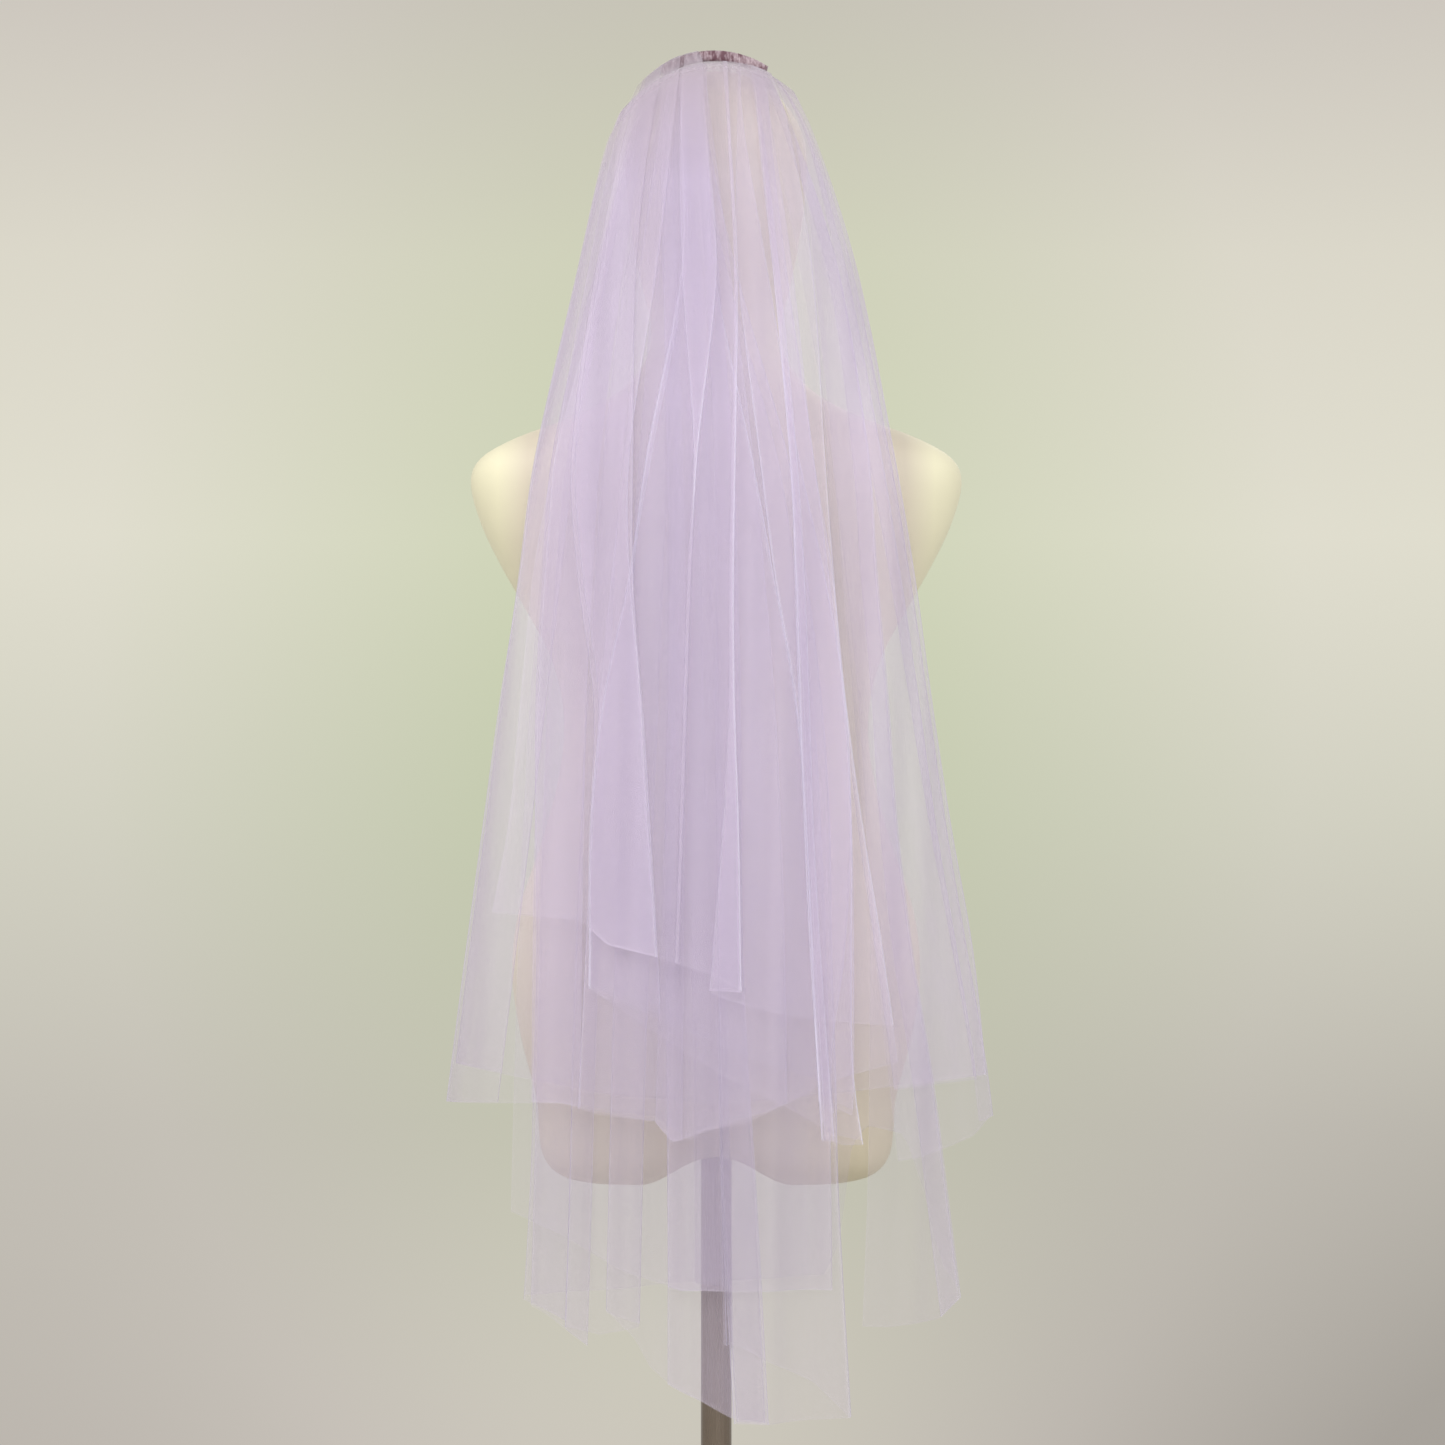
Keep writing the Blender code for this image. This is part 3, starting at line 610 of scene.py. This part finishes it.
tulle = Finish("lilac_tulle")
cloth = tulle.node("UVMap", {"uv_map": "cloth"})
place = tulle.node("TexCoord", out=3)
drawn = tulle.node("Mapping", sockets={"Vector": cloth, "Scale": (150.0, 2.2, 1.0)})
streaks = tulle.node("TexNoise", sockets={"Vector": drawn, "Scale": 1.0, "Detail": 1.0})
cloudy = tulle.node("TexNoise", sockets={"Vector": place, "Scale": 22.0, "Detail": 1.0})
turned = tulle.node("SeparateXYZ", sockets={0: tulle.node("UVMap", {"uv_map": "turned"})})
from_hem = Value(tulle, turned.socket.node.outputs[1])
fold_density_and_highlight = 2.718 ** (turned * (-1000.0 / FOLD_LINE))
hem_density_and_highlight = 2.718 ** (from_hem * -900.0)
through = 1.0 - (streaks * 0.07 + cloudy * 0.05 + 0.075 + fold_density_and_highlight * 0.24 + hem_density_and_highlight * 0.08)
facing = tulle.node("LayerWeight", sockets={"Blend": 0.5}, out=1)
down = tulle.node("SeparateXYZ", sockets={0: cloth})
at_comb = tulle.node("MapRange", sockets={0: Value(tulle, down.socket.node.outputs[1]), 1: 0.02, 2: 0.10, 3: 0.55, 4: 0.09})
level = tulle.node("Math", {"operation": "MAXIMUM"}, {0: 1.0 - facing, 1: at_comb})
cover = 1.0 - through ** (1.0 / level)
body = tulle.blend(streaks, (0.60, 0.515, 0.67), (0.65, 0.565, 0.72))
height = tulle.node("SeparateXYZ", sockets={0: place}, out=2)
# Painted shade: the tulle's colour darkens from 0.96 m down to 0.78 m, where less light reaches it.
low = tulle.node("MapRange", sockets={0: height, 1: 0.96, 2: 0.78, 3: 0.0, 4: 1.0})
crown = tulle.node("MapRange", sockets={0: height, 1: 1.56, 2: 1.65, 3: 0.0, 4: 1.0})
body = tulle.blend(low, tulle.blend(crown, body, (0.54, 0.46, 0.54)), (0.55, 0.48, 0.61))
# Painted highlight: fold lines and, more faintly, hems are whitened towards pale lilac; their extra cover is the
# denser cloth there.
tulle_look = tulle.surface(
    Base_Color=tulle.blend(fold_density_and_highlight * 0.85 + hem_density_and_highlight * 0.15, body, (0.78, 0.76, 0.90)),
    Roughness=0.6,
    Alpha=cover,
    Sheen_Weight=0.25,
    Sheen_Roughness=0.35,
    Sheen_Tint=(0.90, 0.88, 1.0, 1),
    Specular_IOR_Level=0.3,
)

# Upper tier: one fan-cut sheet that is folded back and forth across the back, from the nearest layer
# inwards. Each fold: name, crispness, place across at each station. Each panel between two folds: its layer,
# and its hem as (across, down) places.
FIRST_HEM = ((480, 911), (580, 920), (607, 945), (660, 958), (712, 975), (745, 993))
UPPER_FOLDS = (
    ("left_cut_edge", 0.35, (648, 620, 602, 556, 533, 520, 508, 485, 470, 455, 430)),
    ("left_bundle_right", 0.3, (664, 650, 635, 632, 632, 640, 647, 655, 659, 662, 668)),
    ("left_bundle_left", 0.2, (650, 626, 596, 572, 578, 594, 591, 589, 586, 580, 568)),
    ("neck_pleat_right", 0.5, (680, 672, 656, 629, 629, 641, 649, 656, 660, 664, 670)),
    ("neck_pleat_left", 0.2, (652, 632, 600, 576, 583, 599, 592, 590, 588, 582, 570)),
    ("flap_right", (0.9, 0.12, 490), (702, 706, 716, 697, 690, 686, 682, 678, 674, 670, 662)),
    ("flap_left", (0.5, 0.1, 490), (684, 680, 682, 694, 688, 684, 680, 676, 672, 668, 660)),
    ("centre_pleat_right", 0.9, (727, 730, 737, 735, 733, 734, 738, 740, 742, 744, 748)),
    ("centre_pleat_left", (0.1, 0.4, 760), (722, 727, 734, 732, 730, 729, 723, 713, 702, 692, 672)),
    ("centre_fold_right", (0.1, 0.3, 760), (727, 730, 736, 735, 733, 733, 736, 738, 740, 742, 746)),
    ("centre_fold_left", 0.1, (723, 727, 734, 733, 731, 730, 725, 715, 704, 694, 674)),
    ("short_sweep_right", 0.6, (766, 789, 812, 824, 833, 845, 862, 882, 899, 914, 950)),
    ("white_pleat_left", 0.9, (750, 758, 773, 789, 796, 800, 804, 810, 818, 827, 842)),
    ("white_pleat_right", 0.7, (755, 763, 779, 796, 804, 809, 813, 820, 829, 838, 852)),
    ("edge_pleat_left", 0.35, (752, 760, 775, 790, 797, 804, 809, 815, 822, 828, 838)),
    ("edge_pleat_right", 0.3, (762, 772, 792, 812, 832, 843, 851, 853, 853, 850, 848)),
    ("tuck_left", 0.7, (757, 758, 773, 790, 795, 799, 806, 812, 818, 824, 836)),
    ("tuck_right", 0.4, (768, 770, 786, 812, 828, 844, 850, 844, 830, 846, 870)),
    ("side_pleat_left", 0.8, (738, 737, 738, 759, 775, 796, 806, 812, 818, 826, 840)),
    ("side_pleat_right", 1.0, (740, 744, 767, 797, 824, 845, 851, 851, 853, 870, 890)),
    ("bright_left", 0.7, (681, 681, 682, 648, 630, 604, 591, 590, 588, 582, 570)),
    ("bright_right", 0.5, (684, 684, 685, 652, 633, 638, 647, 657, 661, 665, 670)),
    ("front_panel_left", 0.9, (680, 680, 681, 647, 629, 603, 590, 589, 587, 580, 568)),
    ("front_panel_right", 0.9, (706, 708, 714, 750, 773, 795, 806, 812, 818, 826, 840)),
    ("inner_left", 0.3, (676, 660, 640, 625, 612, 600, 592, 586, 580, 574, 566)),
    ("inner_right", 0.25, (704, 712, 730, 752, 764, 774, 780, 784, 786, 788, 792)),
    ("dark_left", 0.2, (662, 660, 663, 668, 670, 669, 665, 661, 657, 654, 648)),
    ("dark_right", 0.2, (670, 671, 676, 682, 684, 685, 684, 683, 682, 681, 680)),
    ("hip_left", 0.2, (650, 618, 588, 556, 545, 538, 535, 533, 532, 531, 528)),
    ("hip_right", 0.2, (662, 645, 622, 600, 592, 586, 583, 581, 580, 579, 577)),
    ("outline_left", 0.3, (646, 611, 578, 537, 520, 500, 483, 466, 450, 434, 404)),
    ("left_edge_pleat_right", 0.2, (664, 640, 608, 575, 560, 545, 530, 515, 500, 485, 460)),
    ("left_edge_pleat_left", 0.2, (645, 610, 577, 536, 519, 502, 486, 470, 455, 440, 412)),
    ("outline_right", 0.3, (779, 812, 857, 893, 914, 931, 950, 972, 985, 995, 1010)),
    ("right_fold_left", 0.2, (762, 793, 812, 826, 834, 845, 858, 876, 893, 907, 930)),
    ("right_fold_right", 0.25, (766, 806, 846, 880, 900, 918, 935, 956, 975, 985, 1000)),
    ("right_edge_pleat_left", 0.2, (764, 804, 838, 868, 890, 910, 930, 953, 974, 984, 1000)),
    ("right_edge_pleat_right", 0.25, (766, 809, 852, 888, 909, 927, 945, 966, 987, 1000, 1020)),
    ("right_cut_edge", 0.2, (766, 800, 814, 832, 842, 853, 863, 874, 888, 902, 925)),
)
UPPER_PANELS = (
    (0.0, FIRST_HEM),
    (0.4, FIRST_HEM),
    (0.7, FIRST_HEM),
    (1.0, FIRST_HEM),
    (1.3, FIRST_HEM),
    (1.6, FIRST_HEM),
    (1.9, FIRST_HEM),
    (2.15, ((700, 990), (750, 993))),
    (2.3, ((700, 990), (750, 993))),
    (2.4, ((700, 990), (750, 993))),
    (2.5, ((705, 992), (745, 1006), (785, 1015), (812, 1019), (855, 1024), (900, 1026))),
    (2.75, ((800, 1092), (850, 1076), (900, 1062))),
    (2.9, ((812, 1110), (835, 1140))),
    (3.0, ((812, 1138), (840, 1142))),
    (3.15, ((812, 1092), (850, 1110))),
    (3.4, ((812, 1100), (850, 1116))),
    (3.7, ((812, 1105), (846, 1120))),
    (4.0, ((815, 1140), (860, 1147))),
    (4.3, ((815, 1141), (845, 1147), (875, 1145))),
    (4.5, ((584, 985), (650, 1030), (720, 1075), (790, 1110), (830, 1135), (875, 1145))),
    (4.7, ((584, 984), (600, 990), (630, 998), (664, 1006))),
    (4.85, ((584, 984), (600, 992), (630, 1004), (664, 1016))),
    (5.0, ((584, 984), (600, 997), (650, 1015), (672, 1027), (720, 1045), (752, 1060), (790, 1072), (825, 1083))),
    (5.3, ((560, 1106), (600, 1116), (655, 1123), (672, 1145), (700, 1133), (745, 1124), (790, 1104), (830, 1082))),
    (5.5, ((560, 1102), (600, 1110), (655, 1118), (690, 1143), (705, 1130), (745, 1118), (768, 1113), (800, 1096))),
    (5.7, ((640, 1118), (655, 1124), (672, 1144), (690, 1139), (800, 1100))),
    (5.9, ((640, 1119), (655, 1125), (672, 1145), (690, 1140))),
    (6.05, ((525, 1104), (560, 1106), (600, 1113), (655, 1123), (672, 1144), (690, 1140))),
    (6.2, ((525, 1103), (560, 1105), (600, 1112))),
    (6.4, ((440, 1107), (560, 1105), (600, 1115), (655, 1121), (672, 1143), (700, 1130), (745, 1122), (768, 1117),
           (775, 1104), (830, 1082))),
    (6.7, ((440, 1107), (520, 1104))),
    (7.1, ((440, 1064), (520, 1078))),
    (7.5, ((440, 1064), (520, 1080), (600, 1095), (700, 1105), (800, 1100), (895, 1088), (1010, 1076))),
    (7.9, ((880, 1093), (1010, 1076))),
    (8.2, ((880, 1094), (1010, 1080))),
    (8.5, ((900, 1087), (1010, 1076))),
    (8.8, ((950, 1130), (986, 1126), (1010, 1112))),
    (9.2, ((880, 1168), (920, 1162), (950, 1152), (975, 1141), (988, 1125), (1010, 1108))),
)
UPPER_CREASES = (
    (0, ((575, 300), (553, 450), (540, 620), (528, 760), (512, 905)), 2.4, 3.4),
    (0, ((566, 420), (548, 560), (534, 720), (520, 905)), 2.2, 3.2),
    (0, ((552, 440), (536, 600), (520, 760), (500, 905)), 2.0, 3.0),
    (6, ((700, 160), (712, 330), (716, 520), (718, 760)), 1.6, 3.0),
    (22, ((640, 560), (640, 700), (650, 880), (655, 960)), 2.4, 4.0),
    (22, ((676, 560), (674, 700), (668, 860), (664, 1000)), 2.6, 4.0),
    (32, ((862, 330), (884, 480), (900, 640), (916, 820), (938, 1000)), 3.0, 4.5),
)
pleated_tier("tulle_upper", UPPER_FOLDS, UPPER_PANELS, 84, 4.4, 5, UPPER_CREASES, tulle_look, "tier_upper")

# Lower tier: the second sheet, longer and narrower, gathered on the same comb under the first.
LOWER_FOLDS = (
    ("left_cut_edge", 0.3, (662, 640, 597, 553, 540, 530, 523, 518, 514, 511, 507)),
    ("short_sweep_right", 0.2, (698, 702, 726, 775, 795, 812, 820, 825, 828, 830, 832)),
    ("short_pleat_left", 0.3, (668, 664, 664, 666, 668, 667, 666, 666, 667, 668, 670)),
    ("short_pleat_right", 0.3, (682, 684, 690, 697, 700, 702, 706, 712, 718, 721, 724)),
    ("back_fold", 0.2, (676, 680, 690, 706, 710, 714, 716, 718, 720, 722, 728)),
    ("long_panel_right", 0.35, (701, 706, 735, 785, 805, 820, 828, 830, 834, 837, 850)),
    ("tapering_pleat_left", 0.5, (692, 695, 705, 714, 716, 716, 717, 718, 720, 722, 735)),
    ("tapering_pleat_right", 0.5, (699, 704, 718, 732, 737, 740, 741, 742, 748, 756, 768)),
    ("taper_fold_left", 0.4, (692, 695, 705, 715, 717, 717, 718, 719, 721, 724, 738)),
    ("taper_fold_right", 0.4, (698, 703, 717, 731, 736, 739, 740, 741, 746, 754, 765)),
    ("third_pleat_left", 0.3, (672, 672, 674, 675, 674, 672, 670, 669, 668, 668, 668)),
    ("third_pleat_right", 0.3, (684, 688, 698, 710, 716, 720, 724, 726, 728, 730, 734)),
    ("pole_fold_left", 0.15, (676, 678, 682, 688, 690, 690, 690, 692, 694, 695, 696)),
    ("pole_fold_right", 0.15, (690, 694, 702, 712, 716, 718, 722, 724, 726, 728, 732)),
    ("second_pleat_left", 0.3, (690, 676, 655, 640, 632, 625, 620, 616, 612, 609, 604)),
    ("second_pleat_right", 0.3, (700, 690, 680, 668, 662, 657, 652, 648, 644, 641, 636)),
    ("first_pleat_left", 0.3, (676, 656, 626, 605, 596, 588, 582, 577, 573, 570, 562)),
    ("first_pleat_right", 0.3, (680, 664, 640, 622, 614, 608, 602, 598, 594, 591, 584)),
    ("hip_pleat_left", 0.25, (656, 630, 598, 568, 556, 548, 543, 540, 537, 534, 528)),
    ("hip_pleat_right", 0.25, (668, 652, 624, 600, 592, 586, 581, 576, 572, 569, 562)),
    ("outline_left", 0.3, (662, 638, 595, 553, 543, 536, 536, 537, 534, 530, 516)),
    ("outline_right", 0.35, (761, 793, 838, 867, 875, 886, 895, 910, 930, 946, 975)),
    ("right_pleat_left", 0.3, (756, 783, 827, 852, 861, 872, 880, 893, 912, 927, 955)),
    ("right_pleat_right", 0.35, (761, 793, 838, 868, 877, 888, 897, 912, 932, 948, 977)),
    ("right_cut_edge", 0.35, (740, 770, 800, 830, 845, 858, 866, 870, 869, 867, 858)),
)
LOWER_PANELS = (
    (9.9, ((500, 1213), (560, 1240), (620, 1275), (680, 1297), (840, 1297))),
    (10.3, ((660, 1292), (680, 1297), (840, 1297))),
    (10.6, ((660, 1292), (680, 1297), (840, 1297))),
    (10.9, ((690, 1332), (735, 1358), (790, 1320), (840, 1294))),
    (11.3, ((735, 1352), (815, 1393), (855, 1432))),
    (12.0, ((725, 1433), (770, 1434), (855, 1428))),
    (12.3, ((725, 1432), (775, 1434))),
    (12.6, ((725, 1431), (775, 1433))),
    (12.9, ((725, 1430), (775, 1433))),
    (13.1, ((664, 1393), (671, 1397), (701, 1412), (730, 1428), (775, 1433))),
    (13.3, ((660, 1390), (671, 1397), (701, 1412), (730, 1428), (775, 1433))),
    (13.45, ((660, 1288), (740, 1295))),
    (13.6, ((660, 1289), (740, 1296))),
    (13.8, ((600, 1318), (607, 1320), (634, 1347), (650, 1378), (671, 1397), (701, 1412), (740, 1430))),
    (14.1, ((600, 1320), (645, 1335))),
    (14.5, ((560, 1338), (600, 1345), (645, 1335))),
    (14.9, ((560, 1338), (590, 1360))),
    (15.1, ((515, 1308), (545, 1325), (569, 1345), (590, 1360))),
    (15.3, ((515, 1306), (540, 1318), (575, 1338))),
    (15.5, ((515, 1308), (545, 1322), (575, 1339))),
    (15.8, ((515, 1308), (600, 1300), (700, 1290), (825, 1285), (840, 1250), (852, 1150), (868, 1130), (905, 1140),
            (925, 1200), (940, 1270), (965, 1312))),
    (16.1, ((895, 1338), (940, 1335), (968, 1308))),
    (16.3, ((895, 1339), (940, 1336), (970, 1306))),
    (16.5, ((855, 1337), (890, 1340), (940, 1335), (968, 1308))),
)
pleated_tier("tulle_lower", LOWER_FOLDS, LOWER_PANELS, 90, 4.4, 8, (), tulle_look, "tier_lower")
